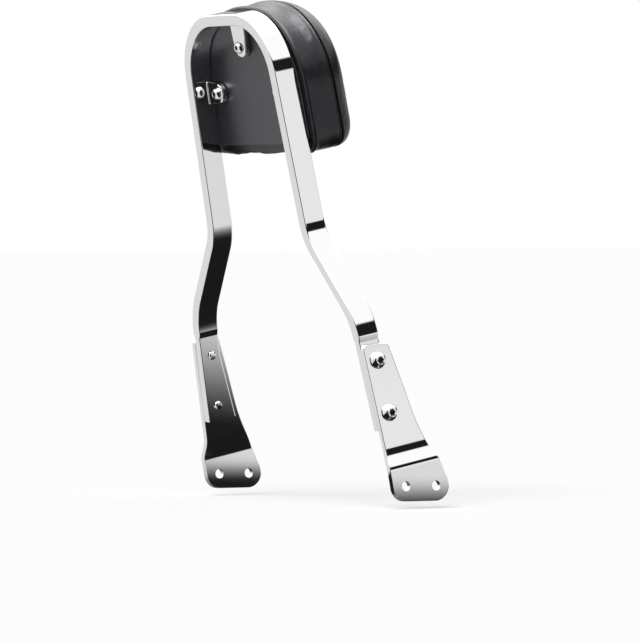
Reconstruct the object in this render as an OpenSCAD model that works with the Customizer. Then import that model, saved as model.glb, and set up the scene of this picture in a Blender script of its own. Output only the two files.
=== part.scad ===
// Motorcycle backrest: a leaning chrome hoop with a padded backrest and two bolt-on side plates.
// Origin: middle of the rear bolt axis through both side plates. +X right, +Y forward, +Z up.

/* [Hoop bar] */
// Lean of the hoop behind the vertical, in degrees
lean = 11.3; // [0:0.1:25]
// Thickness of the bar, seen from behind
bar_t = 12.7; // [9:0.1:16]
// Depth of the bar, fore and aft
bar_d = 25.4; // [20:0.1:32]
// Radius on the long edges of the bar
bar_edge_r = 2.2; // [1:0.1:4]
// Distance between the legs' centre lines, carried up to the crown
crown_w = 171; // [140:1:240]
// Height of the crown's centre line above the bolt axis, along the lean
crown_h = 512; // [430:1:620]
// Centre line radius of the two crown corners
crown_r = 64; // [40:1:70]
// Outward flare of the upper legs, in degrees
leg_flare = 3.1; // [0:0.1:6]
// Height of the upper bend above the bolt axis, along the lean
upper_bend_h = 272; // [255:1:300]
// Angle of the spread length between the bends, in degrees
spread_angle = 37.5; // [20:0.5:45]
// Turn of the spread length about its own axis, in degrees
spread_twist = 5.5; // [0:0.5:8]
// Height of the lower bend above the bolt axis, along the lean
lower_bend_h = 183.5; // [170:0.5:200]
// Centre line radius of the upper and lower bends
bend_r = 72; // [50:1:80]
// Outward flare of the lower legs and side plates, in degrees
foot_flare = 5.6; // [2:0.1:9]
// Length of the lower leg below the lower bend
foot_leg_l = 122; // [114:1:125]
// Thickness of the flattened foot of each leg
foot_t = 9.4; // [8:0.1:11]
// Distance below the lower bend where the leg starts to widen
widen_drop = 51; // [45:1:90]
// Forward widening of the leg for each millimetre of length
widen_rate = 0.145; // [0:0.005:0.2]

/* [Pad tabs] */
// Thickness of the three welded tabs
tab_t = 7; // [4:0.1:9]
// Width of a tab at its screw
tab_w = 22.5; // [20:0.5:28]
// Width of the crown tab where it meets the bar
crown_tab_root_w = 27; // [24:0.5:36]
// Distance from the crown bar to the crown tab's screw
crown_tab_reach = 26.5; // [20:0.5:34]
// Distance from a leg to its side tab's screw
side_tab_reach = 19; // [16:0.5:28]
// Height of the side tabs above the bolt axis, along the lean
side_tab_h = 429; // [395:1:435]

/* [Side plates] */
// Thickness of the side plates
plate_t = 6.35; // [4:0.05:8]
// Distance that a side plate stands out behind the bar
plate_rear_lip = 0.4; // [0:0.1:3]
// Distance that a side plate stands out in front of the bar, at its top
plate_front_lip = 5.8; // [1:0.1:9]
// Fall of the plate's top edge from its rear to its front
plate_top_fall = 3; // [0:0.5:6]
// Distance from the lower bend down to the top of the plate, at its rear
plate_top_drop = 28; // [27:0.5:32]
// Radius of the plate's top corners
plate_corner_r = 6; // [2:0.5:10]
// Distance below the lower bend where the front edge starts to sweep forward
sweep_drop = 106; // [95:1:115]
// Radius of the forward sweep
sweep_r = 200; // [120:5:320]
// Height of the joggle's upper bend above the bolt axis
joggle_h = 34.5; // [32:0.5:40]
// Distance that the joggle sets the bolt flange outward
joggle = 6.5; // [5.5:0.5:7]
// Angle of the joggle, in degrees
joggle_angle = 28; // [20:1:35]
// Radius of the joggle's upper bend, at the middle of the plate
joggle_upper_r = 44; // [20:1:48]
// Radius of the joggle's lower bend, at the middle of the plate
joggle_lower_r = 14; // [8:1:16]
// Distance between the two bolt holes, fore and aft
foot_hole_pitch = 38.1; // [30:0.1:46]
// Diameter of the bolt holes
foot_hole_d = 10.5; // [8.4:0.1:13]
// Radius of the flange round each bolt hole
flange_r = 16.4; // [14:0.1:20]
// Height above the bolt axis where the rear edge starts to widen to the flange
rear_sweep_h = 40; // [30:1:60]

/* [Plate screws] */
// Thread diameter of the side plate screws
plate_screw_d = 9.5; // [8:0.1:12]
// Head diameter of the side plate screws
plate_head_d = 18; // [15:0.1:21]
// Head height of the side plate screws
plate_head_h = 5.8; // [4:0.1:7]
// Width across the flats of the side plate screws' hex socket
plate_hex = 6.4; // [4:0.1:8]
// Distance from the lower bend down to the upper screw
upper_screw_drop = 48; // [44:0.5:50]
// Distance between the two screws of a side plate
screw_pitch = 57.2; // [50:0.1:60]
// Distance of the screws in front of the bar's middle
screw_ahead = 1.5; // [0:0.1:4]
// Length of the screw end that stands out inside the leg
screw_end_l = 2.2; // [0:0.1:6]
// Radial clearance between a hole in the plate and its screw
plate_hole_gap = 0.4; // [0.1:0.05:1]
// Radial clearance between a screw and its thread
thread_gap = 0.04; // [0.02:0.01:0.1]

/* [Pad screws] */
// Thread diameter of the pad screws
pad_screw_d = 7.9; // [6:0.1:9]
// Head diameter of the pad screws
pad_head_d = 13.9; // [11:0.1:16]
// Head height of the pad screws
pad_head_h = 4.6; // [3:0.1:6]
// Width across the flats of the pad screws' hex socket
pad_hex = 4.8; // [3:0.1:6]
// Barrel diameter of the tee nuts
nut_barrel_d = 10.4; // [9.6:0.1:13]
// Flange diameter of the tee nuts
nut_flange_d = 22; // [18:0.5:26]
// Flange thickness of the tee nuts
nut_flange_t = 1.8; // [1:0.1:3]

/* [Pad] */
// Half width of the pad at its lower corners, on the seam
pad_half_w = 109.5; // [100:0.5:130]
// Height of the pad's lower edge above the bolt axis, along the lean
pad_bottom_h = 361; // [345:1:380]
// Height of the pad's top above the bolt axis, along the lean
pad_top_h = 520; // [505:1:640]
// Radius of the pad's top arch
pad_arch_r = 236; // [180:1:400]
// Radius of the pad's shoulders
pad_shoulder_r = 81; // [50:1:95]
// Radius of the pad's lower corners
pad_corner_r = 20; // [12:1:30]
// Narrowing of the pad's sides towards the top, in degrees
pad_taper = 2.7; // [0:0.1:6]
// Depth of the boxing, from the back of the pad to the seam
boxing_d = 38; // [28:1:50]
// Height of the crowned front above the seam
crown_rise = 27; // [12:1:36]
// Thickness of the vinyl cover
vinyl_t = 1.4; // [0.8:0.1:2.5]
// Radius of the pad's rear edge
rear_edge_r = 7; // [4:0.5:12]
// Outward bulge of the boxing
boxing_bulge = 1.6; // [0:0.1:3]
// Thickness of the board
board_t = 9; // [6:0.5:14]
// Distance from the pad's outline in to the edge of the back panel
panel_inset = 9; // [7:0.5:16]
// Thickness of the back panel
panel_t = 2; // [1:0.1:4]
// Clearance round the soft parts
soft_gap = 0.3; // [0.1:0.05:0.6]

/* [Hidden] */

bend_steps = 9;
crown_steps = 22;
edge_steps = 4;
// Centre line corners of the right half of the hoop: across, and up the lean
crown_v = [crown_w / 2, crown_h];
upper_v = [crown_v.x + (crown_h - upper_bend_h) * tan(leg_flare), upper_bend_h];
lower_v = [upper_v.x + (upper_bend_h - lower_bend_h) * tan(spread_angle), lower_bend_h];
function down_foot(drop) = lower_v + drop * [sin(foot_flare), -cos(foot_flare)];
flat_drop = bend_r * tan((spread_angle - foot_flare) / 2);
foot_widening = (foot_leg_l - widen_drop) * widen_rate;

bar_front = bar_d / 2;
bar_rear = -bar_d / 2;
pad_back = bar_front + soft_gap;
board_back = pad_back + panel_t + vinyl_t;
board_front = board_back + board_t;
seam_at = pad_back + boxing_d;

seat_gap = 0.02;
plate_inner = foot_t / 2 + seat_gap;
plate_outer = plate_inner + plate_t;
plate_rear = bar_rear - plate_rear_lip;
plate_front_top = bar_front + plate_front_lip;
lower_screw_drop = upper_screw_drop + screw_pitch;
plate_screw_l = plate_t + foot_t + screw_end_l;

crown_screw_at = [0, crown_h - bar_t / 2 - crown_tab_reach];
leg_inner_x = crown_w / 2 + (crown_h - side_tab_h) * tan(leg_flare) - bar_t / 2 / cos(leg_flare);
side_screw_at = [leg_inner_x - side_tab_reach, side_tab_h];
tab_rear = bar_front - tab_t;
nut_l = board_t - 1;
pad_screw_l = board_front - tab_rear - 1.5;

function normal(a) = [cos(a), sin(a)];

// One bend of the centre line: stations of [point, angle of its outward normal, twist]
function bend(v, a0, a1, r, t0, t1, steps) =
    let (s = a1 > a0 ? 1 : -1, c = v - s * r / cos((a1 - a0) / 2) * normal((a0 + a1) / 2))
    [for (i = [0 : steps]) let (a = a0 + (a1 - a0) * i / steps)
        [c + s * r * normal(a), a, t0 + (t1 - t0) * i / steps, bar_t, 0]];

// A station of the straight foot: [point, angle, twist, thickness, forward widening]
function foot(drop, t, widening) = [down_foot(drop), foot_flare, 0, t, widening];

right_half = concat(
    [foot(foot_leg_l, foot_t, foot_widening), foot(widen_drop, foot_t, 0),
     foot(plate_top_drop - 3, foot_t, 0)],
    bend(lower_v, foot_flare, spread_angle, bend_r, 0, spread_twist, bend_steps),
    bend(upper_v, spread_angle, leg_flare, bend_r, spread_twist, 0, bend_steps),
    bend(crown_v, leg_flare, 90, crown_r, 0, 0, crown_steps));
function flip(s) = [[-s[0].x, s[0].y], 180 - s[1], -s[2], s[3], s[4]];
stations = concat(right_half, [for (i = [len(right_half) - 1 : -1 : 0]) flip(right_half[i])]);

// Rounded section of the bar: [outward, forward]
function section(t, widening) = [for (q = [0 : 3], i = [0 : edge_steps])
    let (a = 90 * (q + i / edge_steps), w = t / 2 - bar_edge_r,
         f = (q < 2 ? bar_front + widening : bar_front) - bar_edge_r,
         sx = (q == 0 || q == 3) ? 1 : -1, sy = q < 2 ? 1 : -1)
    [sx * w + bar_edge_r * cos(a), sy * f + bar_edge_r * sin(a)]];

// Places one section point of a station: [across, up the lean, rearward]
function place(s, p) = let (n = normal(s[1]), c = cos(s[2]), d = sin(s[2]),
    out = p.x * c + p.y * d, fwd = p.y * c - p.x * d)
    [s[0].x + out * n.x, s[0].y + out * n.y, -fwd];

// Closed skin through a list of rings of equal length
module loft(rings) {
    m = len(rings);
    k = len(rings[0]);
    points = [for (r = rings, p = r) p];
    sides = [for (i = [0 : m - 2], j = [0 : k - 1]) let (a = i * k + j, b = i * k + (j + 1) % k)
        each [[a, a + k, b], [b, a + k, b + k]]];
    caps = [[for (j = [0 : k - 1]) j], [for (j = [k - 1 : -1 : 0]) (m - 1) * k + j]];
    polyhedron(points, concat(sides, caps), convexity = 8);
}

// Turns the flat drawing of the hoop into its leaning plane: drawn z points to the rear
module leaning() rotate([90 + lean, 0, 0]) children();

// A layer of the pad or a tab, between two distances in front of the hoop's middle plane
module layer(from, to) leaning() translate([0, 0, -to]) linear_extrude(to - from) children();

// The right lower leg's own frame: x outward from its centre line, y up the leg, z rearward
module on_foot_leg() leaning() translate([lower_v.x, lower_v.y, 0]) rotate([0, 0, foot_flare])
    children();

module side(s) {
    if (s < 0) mirror([1, 0, 0]) children();
    else children();
}

module plate_screw_axes() for (drop = [upper_screw_drop, lower_screw_drop])
    translate([0, -drop, -screw_ahead]) rotate([0, 90, 0]) children();

// Domed head with a hex socket, its seat at z = 0, and a plain shank below it
module button_screw(d, head_d, head_h, hex, shank_l) {
    rim = head_h * 0.16;
    dome_h = head_h - rim;
    flat_r = hex * 0.72;
    ball_r = (pow(head_d / 2, 2) - pow(flat_r, 2) + pow(dome_h, 2)) / (2 * dome_h);
    drop = sqrt(pow(ball_r, 2) - pow(flat_r, 2)) - dome_h;
    difference() {
        rotate_extrude($fn = 64) polygon(concat([[0, -shank_l], [d / 2 - 0.8, -shank_l],
            [d / 2, -shank_l + 0.8], [d / 2, 0], [head_d / 2, 0], [head_d / 2, rim]],
            [for (i = [1 : 7]) let (a0 = asin(drop / ball_r), a1 = acos(flat_r / ball_r),
                a = a0 + (a1 - a0) * i / 7)
                [ball_r * cos(a) - (ball_r * cos(a0) - head_d / 2) * (1 - i / 7),
                 rim + ball_r * sin(a) - drop]],
            [[0, head_h]]));
        translate([0, 0, head_h * 0.35]) cylinder(h = head_h, d = hex / cos(30), $fn = 6);
    }
}

module hoop_bar() color("gainsboro") difference() {
    leaning() loft([for (s = stations) [for (p = section(s[3], s[4])) place(s, p)]]);
    for (s = [-1, 1]) side(s) on_foot_leg() plate_screw_axes()
        cylinder(h = bar_t * 2, r = plate_screw_d / 2 + thread_gap, center = true, $fn = 48);
}

// A tab in the hoop's plane: straight flanks from its root to a round end at the screw
module tab_outline(root_w, reach) difference() {
    hull() {
        circle(d = tab_w, $fn = 32);
        translate([-root_w / 2, reach - 0.5]) square([root_w, 0.5]);
    }
    circle(d = pad_screw_d + 2 * plate_hole_gap, $fn = 32);
}

module crown_tab() color("gainsboro") layer(tab_rear, bar_front) translate(crown_screw_at)
    tab_outline(crown_tab_root_w, crown_tab_reach);

module side_tab() color("gainsboro") layer(tab_rear, bar_front) translate(side_screw_at)
    rotate([0, 0, leg_flare - 90]) tab_outline(tab_w, side_tab_reach * cos(leg_flare));

// The side plate seen from its side: [forward, up the lean], origin on the rear bolt axis
front_hole = foot_hole_pitch * [cos(lean), -sin(lean)];
plate_top = down_foot(plate_top_drop).y;
sweep_at = [plate_front_top + (sweep_drop - plate_top_drop) * widen_rate,
    down_foot(sweep_drop).y];
sweep_a0 = atan(widen_rate);
sweep_a1 = asin(sin(sweep_a0) + (sweep_at.y - 22) / sweep_r);
sweep_edge = [for (i = [0 : 8]) let (a = sweep_a0 + (sweep_a1 - sweep_a0) * i / 8)
    sweep_at + sweep_r * [cos(sweep_a0) - cos(a), sin(sweep_a0) - sin(a)]];

module plate_outline() difference() {
    union() {
        offset(r = plate_corner_r, $fn = 48) offset(delta = -plate_corner_r)
            polygon(concat([[plate_rear, plate_top],
                [plate_front_top, plate_top - plate_top_fall]], sweep_edge,
                [front_hole, [0, 0], [-flange_r, 20], [plate_rear, rear_sweep_h]]));
        hull() {
            circle(r = flange_r, $fn = 64);
            translate(front_hole) circle(r = flange_r, $fn = 64);
            translate([-flange_r, 20]) square([sweep_edge[8].x + flange_r, 1]);
        }
    }
    for (at = [[0, 0], front_hole]) translate(at) circle(d = foot_hole_d, $fn = 64);
}

// The side plate seen from behind: its bent centre line, with the bends as arcs
plate_mid = (plate_inner + plate_outer) / 2;
function on_plate(drop) = down_foot(drop) + plate_mid * normal(foot_flare);
joggle_v1 = on_plate((lower_v.y - joggle_h) / cos(foot_flare) + plate_mid * tan(foot_flare));
joggle_v2 = joggle_v1 + joggle * [1, -1 / tan(joggle_angle)];
flange_end = [joggle_v2.x, -2 * foot_hole_pitch];
function joggle_bend(v, a0, a1, r) = bend(v, a0, a1, r, 0, 0, 6);
plate_line = concat([[flange_end, 0]], joggle_bend(joggle_v2, 0, joggle_angle,
    joggle_lower_r), joggle_bend(joggle_v1, joggle_angle, foot_flare, joggle_upper_r), [[on_plate(0), foot_flare]]);
flange_inner = joggle_v2.x - plate_t / 2;
flange_outer = joggle_v2.x + plate_t / 2;

module side_plate() color("silver") difference() {
    intersection() {
        leaning() translate([0, 0, -150]) linear_extrude(300) polygon(concat(
            [for (s = plate_line) s[0] + plate_t / 2 * normal(s[1])],
            [for (i = [len(plate_line) - 1 : -1 : 0])
                plate_line[i][0] - plate_t / 2 * normal(plate_line[i][1])]));
        rotate([90 + lean, 0, 0]) rotate([0, 90, 0]) linear_extrude(300) plate_outline();
    }
    on_foot_leg() plate_screw_axes()
        cylinder(h = 60, r = plate_screw_d / 2 + plate_hole_gap, center = true, $fn = 48);
}

module plate_screw(drop) color("gainsboro") on_foot_leg()
    translate([plate_outer + seat_gap, -drop, -screw_ahead]) rotate([0, 90, 0])
        button_screw(plate_screw_d, plate_head_d, plate_head_h, plate_hex, plate_screw_l);

module pad_screw(at) color("gainsboro") leaning() translate([at.x, at.y, -tab_rear])
    button_screw(pad_screw_d, pad_head_d, pad_head_h, pad_hex, pad_screw_l);

module tee_nut(at) color("silver") leaning() translate([at.x, at.y, -board_front])
    difference() {
        union() {
            translate([0, 0, -nut_flange_t]) cylinder(h = nut_flange_t, d = nut_flange_d, $fn = 40);
            cylinder(h = nut_l, d = nut_barrel_d, $fn = 40);
        }
        cylinder(h = 60, r = pad_screw_d / 2 + thread_gap, center = true, $fn = 40);
    }

// Outline of the pad, set in by a distance: corner, side, shoulder and arch as arcs
pad_mid = [0, (pad_bottom_h + pad_top_h) / 2];
arch_c = [0, pad_top_h - pad_arch_r];
shoulder_base = [pad_half_w, pad_bottom_h] - pad_shoulder_r * normal(pad_taper) - arch_c;
shoulder_d = normal(90 + pad_taper);
shoulder_q = shoulder_base * shoulder_d;
shoulder_c = arch_c + shoulder_base + shoulder_d * (sqrt(pow(shoulder_q, 2)
    - shoulder_base * shoulder_base + pow(pad_arch_r - pad_shoulder_r, 2)) - shoulder_q);
shoulder_a = atan2(shoulder_c.y - arch_c.y, shoulder_c.x);
corner_c = [pad_half_w - pad_corner_r * (tan(pad_taper) + 1 / cos(pad_taper)),
    pad_bottom_h + pad_corner_r];
function arc(c, r, a0, a1, n) = [for (i = [0 : n]) c + r * normal(a0 + (a1 - a0) * i / n)];
function right_outline(inset) = concat(
    arc(corner_c, pad_corner_r - inset, -90, pad_taper, 6),
    arc(shoulder_c, pad_shoulder_r - inset, pad_taper, shoulder_a, 8),
    [for (p = arc(arch_c, pad_arch_r - inset, shoulder_a, 90, 5)) if (p.x > 0.1) p]);
function pad_ring(inset, n, f = 1) = let (h = right_outline(inset), k = len(h))
    [for (p = concat(h, [for (i = [k - 1 : -1 : 0]) [-h[i].x, h[i].y]]))
        let (q = pad_mid + f * (p - pad_mid)) [q.x, q.y, -n]];

// Crowned front, from its middle down to the seam
crown_f = [0.12, 0.3, 0.5, 0.66, 0.78, 0.86, 0.92, 0.96, 0.985, 1];
function crown_rings(inset, rise) = [for (f = crown_f)
    pad_ring(inset, seam_at + rise * sqrt(1 - pow(f, 5)), f)];

// Ring of the pad's cover, swept round the outline: profile points are [inset, forward]
module cover_ring(profile) {
    rings = [for (p = profile) pad_ring(p[0], p[1])];
    m = len(rings);
    k = len(rings[0]);
    polyhedron([for (r = rings, p = r) p], [for (i = [0 : m - 1], j = [0 : k - 1])
        let (a = i * k + j, b = i * k + (j + 1) % k, c = (i + 1) % m * k + j,
             d = (i + 1) % m * k + (j + 1) % k) each [[a, c, b], [b, c, d]]], convexity = 8);
}

module at_pad_screws() for (at = [crown_screw_at, side_screw_at, [-side_screw_at.x, side_screw_at.y]])
    leaning() translate([at.x, at.y, 0]) children();

module pad_board() color("burlywood") difference() {
    leaning() loft([pad_ring(vinyl_t + soft_gap, board_front),
        pad_ring(vinyl_t + soft_gap, board_back + rear_edge_r - vinyl_t),
        pad_ring(rear_edge_r, board_back + seat_gap)]);
    at_pad_screws() cylinder(h = 200, d = nut_barrel_d + 0.1, center = true, $fn = 40);
}

module pad_back_panel() color("dimgray") difference() {
    leaning() loft([pad_ring(panel_inset, pad_back + panel_t - seat_gap),
        pad_ring(panel_inset, pad_back)]);
    at_pad_screws() cylinder(h = 200, r = pad_screw_d / 2 + plate_hole_gap, center = true, $fn = 40);
}

module pad_foam() color("khaki") difference() {
    leaning() loft(concat(crown_rings(vinyl_t + soft_gap, crown_rise - vinyl_t - soft_gap),
        [pad_ring(vinyl_t + soft_gap, board_front + seat_gap)]));
    at_pad_screws() translate([0, 0, -board_front - nut_flange_t - soft_gap])
        cylinder(h = 20, d = nut_flange_d + 2 * soft_gap, $fn = 40);
}

module cover_boxing() color("darkslategray") leaning() cover_ring(concat(
    [for (i = [0 : 4]) [-boxing_bulge * sin(45 * i),
        seam_at - (seam_at - pad_back - panel_t - rear_edge_r) * i / 4]],
    [for (i = [1 : 4]) [rear_edge_r * (1 - cos(22.5 * i)),
        pad_back + panel_t + rear_edge_r * (1 - sin(22.5 * i))]],
    [[panel_inset + 6, pad_back + panel_t], [panel_inset + 6, board_back]],
    [for (i = [4 : -1 : 0]) [rear_edge_r - (rear_edge_r - vinyl_t) * cos(22.5 * i),
        board_back + (rear_edge_r - vinyl_t) * (1 - sin(22.5 * i))]],
    [[vinyl_t, seam_at]]));

module cover_front() color("darkslategray") leaning() difference() {
    loft(crown_rings(0, crown_rise));
    loft(concat(crown_rings(vinyl_t, crown_rise - vinyl_t), [pad_ring(vinyl_t, seam_at - 2)]));
}

left_screw_at = [-side_screw_at.x, side_screw_at.y];
hoop_bar();
crown_tab();
side(-1) side_tab();  // left_tab
side_tab();  // right_tab
side(-1) side_plate();  // left_side_plate
side_plate();  // right_side_plate
side(-1) plate_screw(upper_screw_drop);  // left_upper_plate_screw
side(-1) plate_screw(lower_screw_drop);  // left_lower_plate_screw
plate_screw(upper_screw_drop);  // right_upper_plate_screw
plate_screw(lower_screw_drop);  // right_lower_plate_screw
pad_screw(crown_screw_at);  // crown_pad_screw
pad_screw(left_screw_at);  // left_pad_screw
pad_screw(side_screw_at);  // right_pad_screw
tee_nut(crown_screw_at);  // crown_tee_nut
tee_nut(left_screw_at);  // left_tee_nut
tee_nut(side_screw_at);  // right_tee_nut
pad_board();
pad_back_panel();
pad_foam();
cover_boxing();
cover_front();
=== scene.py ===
import math

import bmesh
import bpy
from mathutils import Matrix, Vector
from mathutils.bvhtree import BVHTree


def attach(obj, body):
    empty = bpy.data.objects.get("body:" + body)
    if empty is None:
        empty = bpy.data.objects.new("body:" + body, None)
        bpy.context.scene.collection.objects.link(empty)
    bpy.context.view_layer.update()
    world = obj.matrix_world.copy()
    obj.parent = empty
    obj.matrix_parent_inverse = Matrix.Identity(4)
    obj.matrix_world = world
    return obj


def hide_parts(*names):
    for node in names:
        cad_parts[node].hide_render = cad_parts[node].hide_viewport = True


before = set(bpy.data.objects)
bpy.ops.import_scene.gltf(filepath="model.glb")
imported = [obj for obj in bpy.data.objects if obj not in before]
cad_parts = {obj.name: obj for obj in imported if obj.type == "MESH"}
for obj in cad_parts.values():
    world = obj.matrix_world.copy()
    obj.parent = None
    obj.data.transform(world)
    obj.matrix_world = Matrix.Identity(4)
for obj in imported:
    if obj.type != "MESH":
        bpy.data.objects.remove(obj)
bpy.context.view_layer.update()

# Camera: behind the backrest and to its right, almost level with the pad. It stands far away with a
# long lens, so that the two legs look nearly parallel.
AROUND, DOWNWARD, LENS = 58.5, 0.97, 364.3
scene = bpy.context.scene
scene.view_settings.view_transform = "Standard"
camera = bpy.data.objects.new("camera", bpy.data.cameras.new("camera"))
camera.location = (6.0400, -3.6873, 0.2927)
camera.rotation_euler = (math.radians(90 - DOWNWARD), 0, math.radians(AROUND))
camera.data.lens = LENS
camera.data.sensor_width = 36
camera.data.sensor_fit = "HORIZONTAL"
camera.data.clip_end = 100
scene.collection.objects.link(camera)
scene.camera = camera


# Shader maths: a socket that takes operators, with one method for any node and three for the
# nodes that most of the finishes share.
class Sock:
    def __init__(self, tree, out):
        self.tree, self.out = tree, out

    def node(self, kind, settings=None, **inputs):
        made = self.tree.nodes.new(kind)
        for name, value in (settings or {}).items():
            if name == "stops":
                ramp = made.color_ramp
                while len(ramp.elements) < len(value):
                    ramp.elements.new(0.5)
                for stop, (at, grey) in zip(ramp.elements, value):
                    stop.position = at
                    stop.color = (grey, grey, grey, 1)
            else:
                setattr(made, name, value)
        for name, value in inputs.items():
            numbered = name[0] == "i" and name[1:].isdigit()
            socket = made.inputs[int(name[1:]) if numbered else name.replace("_", " ")]
            if isinstance(value, Sock):
                self.tree.links.new(value.out, socket)
            else:
                socket.default_value = value
        return made

    def get(self, kind, settings=None, out=0, **inputs):
        return Sock(self.tree, self.node(kind, settings, **inputs).outputs[out])

    def math(self, operation, a, b=0.0):
        return self.get("ShaderNodeMath", {"operation": operation}, i0=a, i1=b)

    def smooth(self, low, high, start=0.0, end=1.0):
        return self.get("ShaderNodeMapRange", {"interpolation_type": "SMOOTHSTEP"}, Value=self,
                        From_Min=low, From_Max=high, To_Min=start, To_Max=end)

    def mix(self, first, second):
        return self.get("ShaderNodeMix", {"data_type": "RGBA"}, out=2, i0=self, i6=first, i7=second)

    def dot(self, direction):
        return self.get("ShaderNodeVectorMath", {"operation": "DOT_PRODUCT"}, out=1,
                        i0=self, i1=direction)

    def __add__(self, other):
        return self.math("ADD", self, other)

    def __sub__(self, other):
        return self.math("SUBTRACT", self, other)

    def __mul__(self, other):
        return self.math("MULTIPLY", self, other)

    def link(self, node, name):
        self.tree.links.new(self.out, node.inputs[name])


def material(name, colour, **values):
    made = bpy.data.materials.new(name)
    made.use_nodes = True
    shader = made.node_tree.nodes["Principled BSDF"]
    shader.inputs["Base Color"].default_value = (*colour, 1)
    for key, value in values.items():
        shader.inputs[key.replace("_", " ")].default_value = value
    return made, shader, Sock(made.node_tree, None)


# Room: a pale floor under the feet of the plates, painted near black close by and on the camera's side
# for glossy rays only, as a painted dark reflection in the chrome. The world is white to the camera and
# graded for the chrome, and one broad lamp gives the soft light.
FLOOR_Z, FLOOR_SIZE = -0.0245, 40
FLOOR_GREY, FLOOR_GLOW = (0.8, 0.8, 0.8), (0.24, 0.24, 0.24, 1)
PAINTED_DARK_REFLECTION, DARK_WALL = (0.014, 0.013, 0.013, 1), (0.012, 0.011, 0.011, 1)
BLACK, WHITE, WALL_GREY = (0, 0, 0, 1), (1, 1, 1, 1), (0.52, 0.52, 0.52, 1)
TO_CAMERA, RIGHT_AHEAD = (0.853, -0.522, 0), (0.853, 0.522, 0)
LEFT_AHEAD, LEFT = (-0.853, 0.475, 0), (-1.0, 0.0, 0)
CAMERA_EDGE = (0.84, 0.92)


def rays(s):
    """What light paths the surface is seen by: the camera's, a mirrored one and one through glass."""
    paths = s.node("ShaderNodeLightPath")
    return [Sock(s.tree, paths.outputs[f"Is {kind} Ray"]) for kind in ("Camera", "Glossy", "Transmission")]


floor_mesh = bpy.data.meshes.new("floor")
bm = bmesh.new()
bmesh.ops.create_grid(bm, x_segments=1, y_segments=1, size=FLOOR_SIZE)
bmesh.ops.translate(bm, verts=bm.verts, vec=(0, 0, FLOOR_Z))
bm.to_mesh(floor_mesh)
bm.free()
floor = bpy.data.objects.new("floor", floor_mesh)
scene.collection.objects.link(floor)
floor_material, shader, s = material("floor", FLOOR_GREY, Roughness=1.0, Specular_IOR_Level=0.0)
seen, gloss, clear = rays(s)
where = s.get("ShaderNodeTexCoord", out=3)
reach = s.get("ShaderNodeVectorMath", {"operation": "DISTANCE"}, out=1, i0=where, i1=(0, 0.1, 0))
spot = s.node("ShaderNodeSeparateXYZ", Vector=where)
front = Sock(s.tree, spot.outputs["Y"]).smooth(-0.12, 0.04)
near = reach.smooth(0.18, 1.05, start=1.0, end=0.0) * front
aim = s.get("ShaderNodeVectorMath", {"operation": "NORMALIZE"}, i0=where)
sector = aim.dot(TO_CAMERA).smooth(*CAMERA_EDGE)
# Painted reflection: to glossy rays the floor's colour turns near black close by and towards the camera.
floor_tint_with_painted_reflection = (s.math("MAXIMUM", near, sector) * gloss).mix((*FLOOR_GREY, 1), PAINTED_DARK_REFLECTION)
floor_tint_with_painted_reflection.link(shader, "Base Color")
shader.inputs["Emission Strength"].default_value = 1.0
glow = (seen + clear).mix(BLACK, FLOOR_GLOW)
glow.link(shader, "Emission Color")
floor.data.materials.append(floor_material)

world = bpy.data.worlds.new("world")
world.use_nodes = True
scene.world = world
tree = world.node_tree
s = Sock(tree, None)
seen, gloss, clear = rays(s)
direction = s.get("ShaderNodeTexCoord", out="Generated")
height = s.get("ShaderNodeSeparateXYZ", out=2, Vector=direction)
DARK_BAND = [(0.572, 0.0), (0.584, 1.0), (0.715, 1.0), (0.735, 0.0)]
WALL_SHADES = [(0.5, 0.8), (0.66, 0.83), (0.7, 1.0), (0.9, 1.0)]
rise = height * 0.5 + 0.5
band = s.get("ShaderNodeValToRGB", {"stops": DARK_BAND}, Fac=rise)
flag = band * direction.dot(RIGHT_AHEAD).smooth(-0.1, 0.25)
dark = s.math("MAXIMUM", flag, direction.dot(TO_CAMERA).smooth(*CAMERA_EDGE))
bright = s.get("ShaderNodeValToRGB", {"stops": WALL_SHADES}, Fac=rise)
overhead = height.smooth(0.9, 0.98, start=1.04, end=7.5)
crown_shade = direction.dot(LEFT_AHEAD).smooth(0.62, 0.9) * 0.5
over_left = height.smooth(0.2, 0.5) * direction.dot(LEFT).smooth(-0.1, 0.3) * 1.6
upper = s.get("ShaderNodeVectorMath", {"operation": "SCALE"}, i0=bright,
              Scale=overhead - crown_shade + over_left)
graded = dark.mix(upper, DARK_WALL)
lit = (gloss + clear).mix(WALL_GREY, graded)
shown = seen.mix(lit, WHITE)
shown.link(tree.nodes["Background"], "Color")

sun = bpy.data.objects.new("key", bpy.data.lights.new("key", "SUN"))
sun.data.energy = 1.5
sun.data.angle = math.radians(35)
sun.rotation_euler = Vector((-0.35, 0.55, -1.0)).to_track_quat("-Z", "Y").to_euler()
scene.collection.objects.link(sun)


# Hoop: one length of half-inch by one-inch flat steel bar, bent to a crown and splayed legs with a
# slight twist. Its feet are flattened and widened for the side plates, and it is polished and chromed.
LEAN = math.radians(11.3)
MM = 0.001
BAR_T, BAR_D, EDGE_R = 12.7, 25.4, 1.5
FOOT_T, FOOT_FLARE, LEG_FLARE, SPREAD, TWIST = 9.4, 5.6, 3.1, 37.5, 5.5
CROWN_HALF, CROWN_H, UPPER_H, LOWER_H = 85.5, 512.0, 272.0, 183.5
LOWER_R, UPPER_R, CROWN_R, LEG_STEPS, CROWN_STEPS = 72, 56, 64, 26, 64
FOOT_L, SWELL_DROP, WIDEN_DROP, WIDEN_RATE = 122.0, 25.5, 51.0, 0.145
FLAT_STEP = 0.35
CROWN = (CROWN_HALF, CROWN_H)
UPPER = (CROWN_HALF + (CROWN_H - UPPER_H) * math.tan(math.radians(LEG_FLARE)), UPPER_H)
LOWER = (UPPER[0] + (UPPER_H - LOWER_H) * math.tan(math.radians(SPREAD)), LOWER_H)
CHROME, SOCKET_PAINTED_SHADE, POLISH, SOCKET_DULL = (0.93, 0.935, 0.94), (0.05, 0.045, 0.04, 1), 0.045, 0.35


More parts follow.
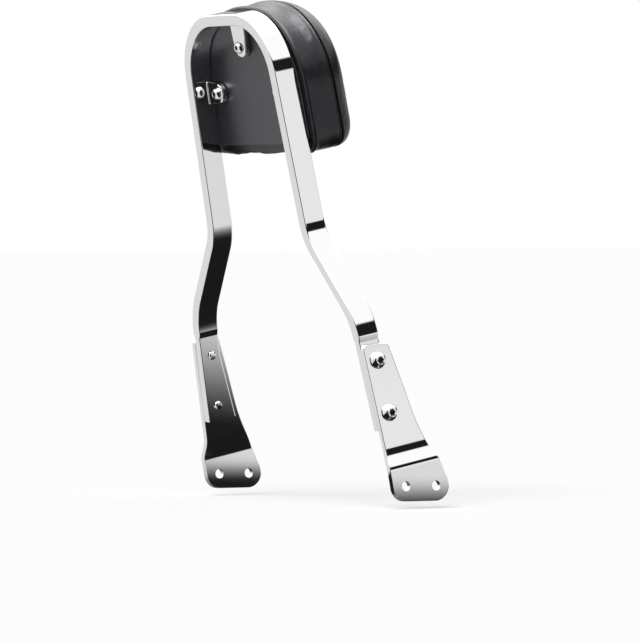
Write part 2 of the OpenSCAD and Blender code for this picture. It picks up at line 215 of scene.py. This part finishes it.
def leaning(x, up, ahead):
    """A point of the hoop's own plane in the row frame, in metres."""
    return Vector((x, ahead * math.cos(LEAN) - up * math.sin(LEAN),
                   up * math.cos(LEAN) + ahead * math.sin(LEAN))) * MM


def finish_mesh(name, mesh_maker, angle=None):
    bmesh.ops.recalc_face_normals(mesh_maker, faces=mesh_maker.faces)
    mesh = bpy.data.meshes.new(name)
    mesh_maker.to_mesh(mesh)
    mesh_maker.free()
    made = bpy.data.objects.new(name, mesh)
    scene.collection.objects.link(made)
    mesh.shade_smooth()
    if angle is not None:
        mesh.set_sharp_from_angle(angle=math.radians(angle))
        weighted = made.modifiers.new("flat_faces", "WEIGHTED_NORMAL")
        weighted.keep_sharp = True
    return made


def make(name, rings, angle=None):
    """A closed mesh through rings of equal length, capped at both ends."""
    mesh_maker = bmesh.new()
    loops = [[mesh_maker.verts.new(p) for p in ring] for ring in rings]
    for low, high in zip(loops, loops[1:]):
        count = len(low)
        for j in range(count):
            k = (j + 1) % count
            mesh_maker.faces.new((low[j], low[k], high[k], high[j]))
    mesh_maker.faces.new(list(reversed(loops[0])))
    mesh_maker.faces.new(loops[-1])
    return finish_mesh(name, mesh_maker, angle=angle)


def normal(angle):
    return Vector((math.cos(math.radians(angle)), math.sin(math.radians(angle))))


def down_foot(drop):
    flare = math.radians(FOOT_FLARE)
    return Vector(LOWER) + drop * Vector((math.sin(flare), -math.cos(flare)))


def bend(vertex, a0, a1, radius, t0, t1, steps):
    """Stations round a bend: place, angle of the outer face, twist, thickness and widening."""
    sign = 1 if a1 > a0 else -1
    middle = normal((a0 + a1) / 2)
    centre = Vector(vertex) - sign * radius / math.cos(math.radians((a1 - a0) / 2)) * middle
    out = []
    for i in range(steps + 1):
        a = a0 + (a1 - a0) * i / steps
        out.append((centre + sign * radius * normal(a), a, t0 + (t1 - t0) * i / steps, BAR_T, 0.0))
    return out


def ease(start, end, near=1.5):
    """A station close to each end of a straight span, so that its faces stay flat."""
    (p, a, t, w, g), (q, b, u, v, h) = start, end
    run = (q - p).length
    out = []
    for f in (near / run, 1 - near / run):
        out.append((p.lerp(q, f), a + (b - a) * f, t + (u - t) * f, w + (v - w) * f, g + (h - g) * f))
    return out


def foot(drop):
    return (down_foot(drop), FOOT_FLARE, 0.0, FOOT_T, max(0.0, drop - WIDEN_DROP) * WIDEN_RATE)


def bar_section(thick, wide):
    """The bar's section with four round corners, and a point beside each that keeps the sides flat."""
    points = []
    for q in range(4):
        sx = 1 if q in (0, 3) else -1
        sy = 1 if q < 2 else -1
        cx = sx * (thick / 2 - EDGE_R)
        cy = sy * ((BAR_D / 2 + (wide if q < 2 else 0)) - EDGE_R)
        turns = [math.radians(90 * q + a) for a in range(0, 91, 15)]
        arc = [(cx + EDGE_R * math.cos(t), cy + EDGE_R * math.sin(t)) for t in turns]
        head, tail = math.radians(90 * q), math.radians(90 * q + 180)
        points.append((arc[0][0] + math.sin(head) * FLAT_STEP, arc[0][1] - math.cos(head) * FLAT_STEP))
        points += arc
        points.append((arc[-1][0] + math.cos(tail) * FLAT_STEP, arc[-1][1] + math.sin(tail) * FLAT_STEP))
    return points


half = [foot(drop) for drop in (FOOT_L, FOOT_L - 1, WIDEN_DROP + 3, WIDEN_DROP + 1, WIDEN_DROP - 1,
                                WIDEN_DROP - 3, SWELL_DROP + 1, SWELL_DROP)]
lower_bend = bend(LOWER, FOOT_FLARE, SPREAD, LOWER_R, 0, TWIST, LEG_STEPS)
upper_bend = bend(UPPER, SPREAD, LEG_FLARE, UPPER_R, TWIST, 0, LEG_STEPS)
crown_bend = bend(CROWN, LEG_FLARE, 90, CROWN_R, 0, 0, CROWN_STEPS)
half += lower_bend + ease(lower_bend[-1], upper_bend[0])
half += upper_bend + ease(upper_bend[-1], crown_bend[0]) + crown_bend
other = [(Vector((-p.x, p.y)), 180 - a, -t, w, g) for p, a, t, w, g in reversed(half)]
rings = []
for p, a, t, thick, wide in half + ease(half[-1], other[0]) + other:
    n = normal(a)
    c, d = math.cos(math.radians(t)), math.sin(math.radians(t))
    ring = []
    for out, fwd in bar_section(thick, wide):
        o, f = out * c + fwd * d, fwd * c - out * d
        ring.append(leaning(p.x + o * n.x, p.y + o * n.y, f))
    rings.append(ring)
hoop = make("chrome_hoop", rings, angle=40)
chrome, shader, s = material("chrome", CHROME, Metallic=1.0, Roughness=POLISH)
# Painted shade: inside each screw's socket the chrome turns near black and rougher, standing in for the shade
# of the recess.
socket_shade_mask = s.get("ShaderNodeAttribute", {"attribute_name": "socket"}, out=2)
socket_shade_mask.mix((*CHROME, 1), SOCKET_PAINTED_SHADE).link(shader, "Base Color")
(socket_shade_mask * SOCKET_DULL + POLISH).link(shader, "Roughness")
hoop.data.materials.append(chrome)
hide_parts("hoop_bar")
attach(hoop, "root")

# Pad tabs: three short flat bars of steel, welded inside the hoop and chromed with it. They widen to
# the root, and each has a small weld fillet along it.
TAB_REAR, TAB_FRONT, TAB_R, TAB_RIM = 5.7, 12.7, 11.25, 1.7
CROWN_ROOT, CROWN_REACH, SIDE_ROOT, SIDE_REACH, SIDE_RUN, SIDE_H = 27, 26.5, 26, 19, 18.97, 429.0
WELD_R, WELD_TAPER, WELD_STEPS, WELD_SIDES = 1.15, 1.5, 40, 12
CROWN_SCREW = Vector((0.0, CROWN_H - BAR_T / 2 - CROWN_REACH))
INNER_X = (CROWN_HALF + (CROWN_H - SIDE_H) * math.tan(math.radians(LEG_FLARE))
           - BAR_T / 2 / math.cos(math.radians(LEG_FLARE)))
SIDE_SCREW = Vector((INNER_X - SIDE_REACH, SIDE_H))
LEFT_SCREW = Vector((-SIDE_SCREW.x, SIDE_SCREW.y))


def slab(name, outline, back, front, rim, place=leaning, cuts=()):
    """A flat plate with rounded rims, from an outline of (x, up) points, laid between two depths."""
    made = bmesh.new()
    low = [made.verts.new((x, y, back)) for x, y in outline]
    made.faces.new(low)
    grown = bmesh.ops.extrude_face_region(made, geom=made.faces[:])
    bmesh.ops.translate(made, verts=[v for v in grown["geom"] if isinstance(v, bmesh.types.BMVert)],
                        vec=(0, 0, front - back))
    bmesh.ops.recalc_face_normals(made, faces=made.faces)
    rims = [e for e in made.edges if abs(e.verts[0].co.z - e.verts[1].co.z) < 1e-6]
    bmesh.ops.bevel(made, geom=rims, offset=rim, segments=3, profile=0.5, affect="EDGES", material=-1)
    for point, across in cuts:
        bmesh.ops.bisect_plane(made, geom=made.verts[:] + made.edges[:] + made.faces[:], dist=1e-5,
                               plane_co=point, plane_no=across)
    for v in made.verts:
        v.co = place(*v.co)
    return finish_mesh(name, made, angle=30)


def tab_outline(screw, root_w, reach, turn):
    """Round end about the screw, straight flanks to the root."""
    flank = math.degrees(math.asin((root_w / 2 - TAB_R) / math.hypot(reach, root_w / 2)))
    turns = [math.radians(180 - flank + (180 + 2 * flank) * k / 24) for k in range(25)]
    points = [(TAB_R * math.cos(t), TAB_R * math.sin(t)) for t in turns]
    points += [(root_w / 2, reach), (-root_w / 2, reach)]
    c, d = math.cos(math.radians(turn)), math.sin(math.radians(turn))
    return [(screw.x + x * c - y * d, screw.y + x * d + y * c) for x, y in points]


for name, screw, root_w, reach, turn in (
        ("crown_tab", CROWN_SCREW, CROWN_ROOT, CROWN_REACH, 0.0),
        ("right_tab", SIDE_SCREW, SIDE_ROOT, SIDE_RUN, LEG_FLARE - 90),
        ("left_tab", LEFT_SCREW, SIDE_ROOT, SIDE_RUN, 90 - LEG_FLARE)):
    tab = slab("chrome_" + name, tab_outline(screw, root_w, reach, turn), TAB_REAR, TAB_FRONT, TAB_RIM)
    tab.data.materials.append(chrome)
    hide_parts(name)
    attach(tab, "root")
    c, d = math.cos(math.radians(turn)), math.sin(math.radians(turn))
    span = root_w / 2 - 0.4
    rings = []
    for k in range(WELD_STEPS + 1):
        x = -span + 2 * span * k / WELD_STEPS
        thin = WELD_R * min(1.0, (span - abs(x)) / WELD_TAPER + 0.25)
        ring = []
        for q in [math.tau * j / WELD_SIDES for j in range(WELD_SIDES)]:
            y = reach + thin * math.cos(q)
            ring.append(leaning(screw.x + x * c - y * d, screw.y + x * d + y * c,
                                TAB_REAR + 0.1 + thin * math.sin(q)))
        rings.append(ring)
    bead = make(name + "_weld", rings, angle=60)
    bead.data.materials.append(chrome)
    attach(bead, "root")

# Side plates: quarter-inch plate, cut to a sweeping outline, joggled outward above an upright bolt
# flange, polished and chromed. Each is screwed to the outside of a flattened foot of the hoop.
PLATE_T, PLATE_IN, PLATE_RIM = 6.35, 4.72, 0.9
PLATE_MID = PLATE_IN + PLATE_T / 2
JOGGLE_H, JOGGLE, JOGGLE_A, JOGGLE_LOWER_R, JOGGLE_UPPER_R, FLANGE_END = 34.5, 6.5, 28, 14, 44, -80
TOP_DROP, SWEEP_RUN, SWEEP_R, SWEEP_END, CORNER, TOP_FALL = 28, 78, 200, 22, 6, 3.0
LOBE_R, HOLE_R, HOLE_PITCH, LOBE_FROM, LOBE_TURN = 16.4, 5.25, 38.1, 24, 101.3
ROW_FROM, ROW_STEP, ROWS = 14.0, 0.9, 36
REAR_EDGE = [(-16.4, 0.0), (-16.4, 20.0), (-15.6, 27.0), (-14.1, 34.0), (-13.3, 39.0)]


def on_plate(drop):
    return down_foot(drop) + PLATE_MID * normal(FOOT_FLARE)


foot_flare = math.radians(FOOT_FLARE)
drop = (LOWER_H - JOGGLE_H) / math.cos(foot_flare) + PLATE_MID * math.tan(foot_flare)
JOGGLE_1 = on_plate(drop)
JOGGLE_2 = JOGGLE_1 + Vector((JOGGLE, -JOGGLE / math.tan(math.radians(JOGGLE_A))))
profile = [(Vector((JOGGLE_2.x, FLANGE_END)), 0.0)]
profile += [(p, a) for p, a, *_ in bend(JOGGLE_2, 0, JOGGLE_A, JOGGLE_LOWER_R, 0, 0, 14)]
profile += [(p, a) for p, a, *_ in bend(JOGGLE_1, JOGGLE_A, FOOT_FLARE, JOGGLE_UPPER_R, 0, 0, 20)]
profile += [(on_plate(0), FOOT_FLARE)]


def plate_x(up, depth):
    """How far out a layer of the plate stands, at a height up the lean."""
    line = [(p + depth * normal(a)) for p, a in profile]
    for p, q in zip(line, line[1:]):
        if p.y <= up <= q.y:
            return p.x + (q.x - p.x) * (up - p.y) / (q.y - p.y)
    return line[-1].x if up > line[-1].y else line[0].x


REAR, FRONT_TOP, TOP = -13.1, 18.5, down_foot(TOP_DROP).y
front_hole = HOLE_PITCH * Vector((math.cos(LEAN), -math.sin(LEAN)))
sweep_at = Vector((FRONT_TOP + SWEEP_RUN * WIDEN_RATE, down_foot(TOP_DROP + SWEEP_RUN).y))
a0 = math.atan(WIDEN_RATE)
a1 = math.asin(math.sin(a0) + (sweep_at.y - SWEEP_END) / SWEEP_R)
fall = math.atan2(TOP_FALL, FRONT_TOP - REAR)
turn = math.pi / 2 - math.atan(WIDEN_RATE) - fall
cut = CORNER * math.tan(turn / 2)
tip = Vector((FRONT_TOP, TOP - TOP_FALL))
centre = tip - cut * Vector((math.cos(fall), -math.sin(fall)))
centre = centre - CORNER * Vector((math.sin(fall), math.cos(fall)))
edge = [(REAR + CORNER - CORNER * math.cos(t), TOP - 6.3 + CORNER * math.sin(t))
        for t in [math.radians(85) * k / 8 for k in range(9)]]
edge += [(centre.x + CORNER * math.sin(t), centre.y + CORNER * math.cos(t))
         for t in [fall + turn * k / 8 for k in range(9)]]
edge += [(FRONT_TOP + SWEEP_RUN / 2 * WIDEN_RATE, (TOP + sweep_at.y) / 2)]
edge += [(sweep_at.x + SWEEP_R * (math.cos(a0) - math.cos(a)),
          sweep_at.y + SWEEP_R * (math.sin(a0) - math.sin(a)))
         for a in [a0 + (a1 - a0) * k / 16 for k in range(17)]]
edge += [(front_hole.x + LOBE_R * math.cos(t), front_hole.y + LOBE_R * math.sin(t))
         for t in [math.radians(LOBE_FROM - (LOBE_FROM + LOBE_TURN) * k / 24) for k in range(25)]]
edge += [(LOBE_R * math.cos(t), LOBE_R * math.sin(t))
         for t in [math.radians(-LOBE_TURN - (180 - LOBE_TURN) * k / 16) for k in range(17)]]
edge += REAR_EDGE + [(REAR, 45.0)]
joggle_rows = [((0, ROW_FROM + ROW_STEP * k, 0), (0, 1, 0)) for k in range(ROWS)]
for name, side in (("right", 1), ("left", -1)):
    def place(ahead, up, depth):
        return leaning(side * plate_x(up, depth), up, ahead)

    plate = slab(name + "_chrome_plate", edge, -PLATE_T / 2, PLATE_T / 2, PLATE_RIM, place, joggle_rows)
    plate.data.materials.append(chrome)
    cutters = []
    for at in (Vector((0, 0)), front_hole):
        cutter = bmesh.new()
        bmesh.ops.create_cone(cutter, cap_ends=True, segments=64, radius1=HOLE_R, radius2=HOLE_R, depth=60)
        for v in cutter.verts:
            v.co = leaning(side * (JOGGLE_2.x + v.co.z), at.y + v.co.y, at.x + v.co.x)
        tool = finish_mesh("cutter", cutter)
        hole = plate.modifiers.new("hole", "BOOLEAN")
        hole.object = tool
        hole.solver = "EXACT"
        cutters.append(tool)
    bpy.context.view_layer.update()
    flat = bpy.data.meshes.new_from_object(plate.evaluated_get(bpy.context.evaluated_depsgraph_get()))
    plate.modifiers.clear()
    plate.data = flat
    flat.set_sharp_from_angle(angle=math.radians(30))
    weighted = plate.modifiers.new("flat_faces", "WEIGHTED_NORMAL")
    weighted.keep_sharp = True
    for tool in cutters:
        bpy.data.objects.remove(tool)
    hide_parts(name + "_side_plate")
    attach(plate, "root")

# Screws: chromed steel button heads with a hex socket. Four hold the side plates to the feet of the
# hoop, with their ends showing inside the legs, and three hold the pad to its tabs.
PLATE_SCREW = {"d": 9.5, "head_d": 18.5, "head_h": 6.4, "hex_w": 6.4, "shank": 6.35 + 9.4 + 2.2}
PAD_SCREW = {"d": 7.9, "head_d": 13.9, "head_h": 4.6, "hex_w": 4.8, "shank": 18.2}
HEAD_FLAT, HEAD_RIM, SOCKET_FLOOR, SOCKET_POINT = 0.83, 0.2, 0.38, 0.3
UPPER_DROP, LOWER_DROP, SCREW_AHEAD, SEAT_GAP = 48.0, 105.2, 1.5, 0.02
ROUND, DOME_STEPS = 96, 14


def round_ring(r, z):
    turns = [math.tau * j / ROUND for j in range(ROUND)]
    return [(r * math.cos(t), r * math.sin(t), z) for t in turns]


def hex_ring(r, z):
    ring = []
    for t in [math.tau * j / ROUND for j in range(ROUND)]:
        out = r / math.cos((t % (math.pi / 3)) - math.pi / 6)
        ring.append((out * math.cos(t), out * math.sin(t), z))
    return ring


def screw(name, node, d, head_d, head_h, hex_w, shank, place):
    flat_r, rim_h = hex_w * HEAD_FLAT, head_h * HEAD_RIM
    dome_h = head_h - rim_h
    ball = ((head_d / 2) ** 2 - flat_r ** 2 + dome_h ** 2) / (2 * dome_h)
    low = math.asin((math.sqrt(ball ** 2 - flat_r ** 2) - dome_h) / ball)
    high = math.acos(flat_r / ball)
    base_z = ball * math.sin(low)
    rest = ball * math.cos(low) - head_d / 2
    outline = [(0.6, -shank - 0.5), (d / 2 - 1.6, -shank - 0.35), (d / 2 - 0.6, -shank + 0.15),
               (d / 2, -shank + 1.0), (d / 2, 0.0), (head_d / 2 - 0.35, 0.0), (head_d / 2 - 0.1, 0.1),
               (head_d / 2, 0.35), (head_d / 2, rim_h)]
    for k in range(1, DOME_STEPS + 1):
        t = low + (high - low) * k / DOME_STEPS
        outline.append((ball * math.cos(t) - rest * (1 - k / DOME_STEPS), rim_h + ball * math.sin(t) - base_z))
    rings = [round_ring(r, z) for r, z in outline]
    for grow, z in ((0.32, head_h), (0.12, head_h - 0.05), (0.0, head_h - 0.25),
                    (0.0, head_h * SOCKET_FLOOR + 0.3), (-0.3, head_h * SOCKET_FLOOR)):
        rings.append(hex_ring(hex_w / 2 + grow, z))
    rings.append(round_ring(0.05, head_h * SOCKET_POINT))
    made = make(name, [[place(*p) for p in ring] for ring in rings], angle=17)
    # Marks the faces inside the socket, where the chrome gets its painted shade.
    inside = made.data.attributes.new("socket", "FLOAT", "POINT")
    socket_from = ROUND * (len(rings) - 3)
    for k in range(len(made.data.vertices)):
        inside.data[k].value = 1.0 if k >= socket_from else 0.0
    made.data.materials.append(chrome)
    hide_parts(node)
    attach(made, "root")


for side, word in ((1, "right"), (-1, "left")):
    for level, drop in (("upper", UPPER_DROP), ("lower", LOWER_DROP)):
        def place(x, y, z):
            p = down_foot(drop + y) + (PLATE_IN + PLATE_T + SEAT_GAP + z) * normal(FOOT_FLARE)
            return leaning(side * p.x, p.y, SCREW_AHEAD + x)

        screw(f"{word}_{level}_button_screw", f"{word}_{level}_plate_screw", place=place, **PLATE_SCREW)
for word, at in (("crown", CROWN_SCREW), ("right", SIDE_SCREW), ("left", LEFT_SCREW)):
    def place(x, y, z):
        return leaning(at.x + x, at.y + y, TAB_REAR - z)

    screw(f"{word}_pad_button_screw", f"{word}_pad_screw", place=place, **PAD_SCREW)

# Pad: black vinyl sewn over foam on a board. The boxing runs round the sides and turns in under the
# back panel, where it gathers, and the crowned front is sewn to it all round.
PAD_BACK, PANEL_T, SEAM_AT, RISE, TURN_R, OUTSET = 13.0, 2.0, 51.0, 29.5, 4.5, 0.7
HALF_W, BOTTOM, PAD_TOP, ARCH_R, SHOULDER_R, CORNER_R, TAPER = 109.2, 361.0, 522.2, 165.0, 90.0, 20.0, 1.5
OUTLINE_POINTS, GATHER, GATHER_H, BOXING_BULGE, CROWN_POWER = 320, 1.4, 40, 0.6, 3.8
SEAM = [(-0.1, -3.2), (-0.6, -2.4), (-0.75, -1.8), (-0.35, -1.3), (1.2, -0.95), (3.0, -0.5), (3.0, 0.3),
        (1.4, 0.8), (0.0, 1.3), (-0.4, 1.9), (-0.1, 2.8)]
CROWN_SCALES = (0.985, 0.97, 0.95, 0.93, 0.91, 0.88, 0.85, 0.81, 0.77, 0.72, 0.66, 0.58, 0.5, 0.42,
                0.34, 0.26, 0.18, 0.1, 0.02)
VOXEL, PRESSURE, LAST_FRAME, SMOOTHINGS, MOVE_CAP = 0.005, 4, 20, 12, 0.005
HOLD, SEAM_RAMP, BACK_RAMP, NEAREST = 2.0, 14, 16, 0.0005
PAD_MID = Vector((0, (BOTTOM + PAD_TOP) / 2))
ARCH_C = Vector((0, PAD_TOP - ARCH_R))
base = Vector((HALF_W, BOTTOM)) - SHOULDER_R * normal(TAPER) - ARCH_C
along = normal(90 + TAPER)
q = base.dot(along)
SHOULDER_C = ARCH_C + base + along * (math.sqrt(q * q - base.dot(base) + (ARCH_R - SHOULDER_R) ** 2) - q)
SHOULDER_A = math.degrees(math.atan2(SHOULDER_C.y - ARCH_C.y, SHOULDER_C.x))
CORNER_C = Vector((HALF_W - CORNER_R * (math.tan(math.radians(TAPER)) + 1 / math.cos(math.radians(TAPER))),
                   BOTTOM + CORNER_R))


def outline(inset):
    """The pad's outline, set in by a distance, as points at even spacing."""
    right = [CORNER_C + (CORNER_R - inset) * normal(-90 + (90 + TAPER) * k / 16) for k in range(17)]
    right += [SHOULDER_C + (SHOULDER_R - inset) * normal(TAPER + (SHOULDER_A - TAPER) * k / 30)
              for k in range(31)]
    right += [ARCH_C + (ARCH_R - inset) * normal(SHOULDER_A + (90 - SHOULDER_A) * k / 30) for k in range(31)]
    loop = right[:-1] + [Vector((-p.x, p.y)) for p in reversed(right)]
    total = 0
    lengths = [0]
    for p, r in zip(loop, loop[1:] + loop[:1]):
        total += (r - p).length
        lengths.append(total)
    even, k = [], 0
    for j in range(OUTLINE_POINTS):
        want = total * j / OUTLINE_POINTS
        while lengths[k + 1] < want:
            k += 1
        p, r = loop[k], loop[(k + 1) % len(loop)]
        even.append(p.lerp(r, (want - lengths[k]) / max(1e-9, lengths[k + 1] - lengths[k])))
    return even


def pad_ring(inset, ahead, scale=1.0, gather=0.0):
    """One line round the pad, drawn in or scaled, with the gathers strongest along the bottom."""
    line, wide = outline(inset), outline(inset - 1)
    ring = []
    for j, (p, r) in enumerate(zip(line, wide)):
        turn = math.tau * j / len(line)
        wave = (math.sin(13 * turn + 1.3 * math.sin(3 * turn)) * 0.8
                + math.sin(29 * turn + 2.1 * math.sin(5 * turn)) * 0.2)
        low = max(0.0, min(1.0, (BOTTOM + GATHER_H - p.y) / GATHER_H))
        pushed = (r - p) * gather * (wave * (0.1 + 0.9 * low) + 0.8 * low)
        ring.append(leaning(*(PAD_MID + scale * (p - PAD_MID) + pushed), ahead + 0.5 * gather * wave * low))
    return ring


rear = PAD_BACK + PANEL_T
side_from = rear + TURN_R
rings = [pad_ring(15, rear), pad_ring(11, rear)]
for k in range(11):
    t = math.pi / 2 * (1 - k / 10)
    rings.append(pad_ring(TURN_R * (1 - math.cos(t)) - OUTSET, rear + TURN_R * (1 - math.sin(t)),
                          gather=GATHER * math.sin(math.pi * (k + 1) / 12)))
for k in range(1, 11):
    inset = -BOXING_BULGE * math.sin(math.pi * k / 12) - OUTSET * (1 - k / 12)
    rings.append(pad_ring(inset, side_from + (SEAM_AT - side_from) * k / 12))
rings += [pad_ring(inset, SEAM_AT + ahead) for inset, ahead in SEAM]
for scale in CROWN_SCALES:
    rings.append(pad_ring(0, SEAM_AT + 1.6 + (RISE - 3.6) * math.sqrt(1 - scale ** CROWN_POWER), scale))
cover = make("pad_cover", rings)
# The cover is blown up as cloth on a remeshed copy. The moves are smoothed and carried back, and
# fade out at the seam and at the turned edge, which are held in.
proxy = cover.copy()
proxy.data = cover.data.copy()
scene.collection.objects.link(proxy)
shell = proxy.modifiers.new("shell", "REMESH")
shell.mode, shell.voxel_size = "VOXEL", VOXEL
bpy.context.view_layer.update()
rest = bpy.data.meshes.new_from_object(proxy.evaluated_get(bpy.context.evaluated_depsgraph_get()))
proxy.modifiers.clear()
proxy.data = rest
cloth = proxy.modifiers.new("cloth", "CLOTH")
cloth.settings.use_pressure = True
cloth.settings.uniform_pressure_force = PRESSURE
cloth.settings.effector_weights.gravity = 0
skin = BVHTree.FromPolygons([v.co.copy() for v in rest.vertices],
                            [tuple(f.vertices) for f in rest.polygons])
for at in range(1, LAST_FRAME + 1):
    scene.frame_set(at)
swollen = bpy.data.meshes.new_from_object(proxy.evaluated_get(bpy.context.evaluated_depsgraph_get()))
moves = [b.co - a.co for a, b in zip(rest.vertices, swollen.vertices)]
for _ in range(SMOOTHINGS):
    sums, counts = [m.copy() for m in moves], [1] * len(moves)
    for e in rest.edges:
        a, b = e.vertices
        sums[a] += moves[b]
        sums[b] += moves[a]
        counts[a] += 1
        counts[b] += 1
    moves = [m / n for m, n in zip(sums, counts)]
depth_axis = Vector((0, math.cos(LEAN), math.sin(LEAN)))
for v in cover.data.vertices:
    face = skin.find_nearest(v.co)[2]
    weights = [(k, 1 / ((rest.vertices[k].co - v.co).length + NEAREST))
               for k in rest.polygons[face].vertices]
    move = sum((moves[k] * w for k, w in weights), Vector()) / sum(w for _, w in weights)
    ahead = v.co.dot(depth_axis) / MM
    from_seam = min(1.0, max(0.0, (abs(ahead - SEAM_AT) - HOLD) / SEAM_RAMP))
    from_back = min(1.0, max(0.0, (ahead - rear - HOLD) / BACK_RAMP))
    if move.length > MOVE_CAP:
        move = move * (MOVE_CAP / move.length)
    v.co += move * (from_seam * from_seam * (3 - 2 * from_seam) * from_back)
bpy.data.objects.remove(proxy)
scene.frame_set(1)
vinyl, shader, s = material("vinyl", (0.005, 0.0048, 0.006), Roughness=0.3, Specular_IOR_Level=0.55,
                            Specular_Tint=(0.95, 0.94, 1.0, 1))
where = s.get("ShaderNodeTexCoord", out=3)
GRAIN_SCALE = 900.0
grain = s.get("ShaderNodeTexVoronoi", {"feature": "SMOOTH_F1"}, Vector=where, Scale=GRAIN_SCALE)
folds = s.get("ShaderNodeTexNoise", Vector=where, Scale=45.0, Detail=3.0)
slant = s.get("ShaderNodeMapping", Vector=where, Rotation=(0.9, 0.0, 0.0), Scale=(45.0, 210.0, 50.0))
crease = s.get("ShaderNodeTexNoise", Vector=slant, Scale=1.0, Detail=2.0)
relief = grain * 0.25 + folds * 0.7 + s.math("ABSOLUTE", crease - 0.5) * 1.7
bump = s.get("ShaderNodeBump", Height=relief, Strength=0.35, Distance=0.0009)
bump.link(shader, "Normal")
cover.data.materials.append(vinyl)
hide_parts("cover_front", "cover_boxing", "pad_foam")
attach(cover, "root")

# Stitches: black thread that lies in the valley of the seam, where the front is sewn to the boxing.
# One stitch comes every 3.7 mm, all the way round.
STITCH_EVERY, STITCH_R, STITCH_RATIO, STITCH_INSET = 0.0037, 0.00075, 1.4, 0.6
made = bmesh.new()
line = [leaning(p.x, p.y, SEAM_AT - 0.1) for p in outline(STITCH_INSET)]
total = sum((b - a).length for a, b in zip(line, line[1:] + line[:1]))
count = round(total / STITCH_EVERY)
for j in range(count):
    want, k = total * j / count, 0
    while want > (line[(k + 1) % len(line)] - line[k]).length:
        want -= (line[(k + 1) % len(line)] - line[k]).length
        k += 1
    a, b = line[k], line[(k + 1) % len(line)]
    heading = (b - a).normalized()
    turned = heading.to_track_quat("Z", "Y").to_matrix().to_4x4()
    stretched = Matrix.Diagonal((1, 1, STITCH_RATIO, 1))
    bmesh.ops.create_uvsphere(made, u_segments=8, v_segments=6, radius=STITCH_R,
                              matrix=Matrix.Translation(a + heading * want) @ turned @ stretched)
stitches = finish_mesh("seam_stitches", made)
thread = material("thread", (0.003, 0.003, 0.003), Roughness=0.9, Specular_IOR_Level=0.1)[0]
stitches.data.materials.append(thread)
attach(stitches, "root")

# Back panel: a thin board wrapped in plain vinyl. It closes the back of the pad over the turned-in
# edge of the boxing, and the tabs clamp it there.
PANEL_INSET, PANEL_RIM = 9, 0.8
panel_map = [(p.x, p.y) for p in outline(PANEL_INSET)]
panel_piece = slab("back_panel", panel_map, PAD_BACK, PAD_BACK + PANEL_T, PANEL_RIM)
panel, shader, s = material("vinyl_panel", (0.020, 0.0185, 0.022), Roughness=0.36, Specular_IOR_Level=0.9,
                            Specular_Tint=(0.96, 0.93, 1.0, 1))
where = s.get("ShaderNodeTexCoord", out=3)
grain = s.get("ShaderNodeTexVoronoi", {"feature": "SMOOTH_F1"}, Vector=where, Scale=GRAIN_SCALE)
bump = s.get("ShaderNodeBump", Height=grain, Strength=0.15, Distance=0.0003)
bump.link(shader, "Normal")
panel_piece.data.materials.append(panel)
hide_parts("pad_back_panel")
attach(panel_piece, "root")

# Hidden parts: zinc-plated steel tee nuts, pressed into the plywood board that the foam is glued to.
# They keep their CAD solids, since no side shows them.
zinc = material("zinc", (0.6, 0.6, 0.58), Metallic=1.0, Roughness=0.35)[0]
for name in ("crown_tee_nut", "left_tee_nut", "right_tee_nut"):
    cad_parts[name].data.materials.clear()
    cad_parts[name].data.materials.append(zinc)
ply, shader, s = material("plywood", (0.55, 0.4, 0.24), Roughness=0.7)
where = s.get("ShaderNodeTexCoord", out=3)
figure = s.get("ShaderNodeTexNoise", Vector=where, Scale=30.0, Detail=5.0)
figure.mix((0.42, 0.28, 0.15, 1), (0.66, 0.5, 0.32, 1)).link(shader, "Base Color")
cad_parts["pad_board"].data.materials.clear()
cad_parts["pad_board"].data.materials.append(ply)
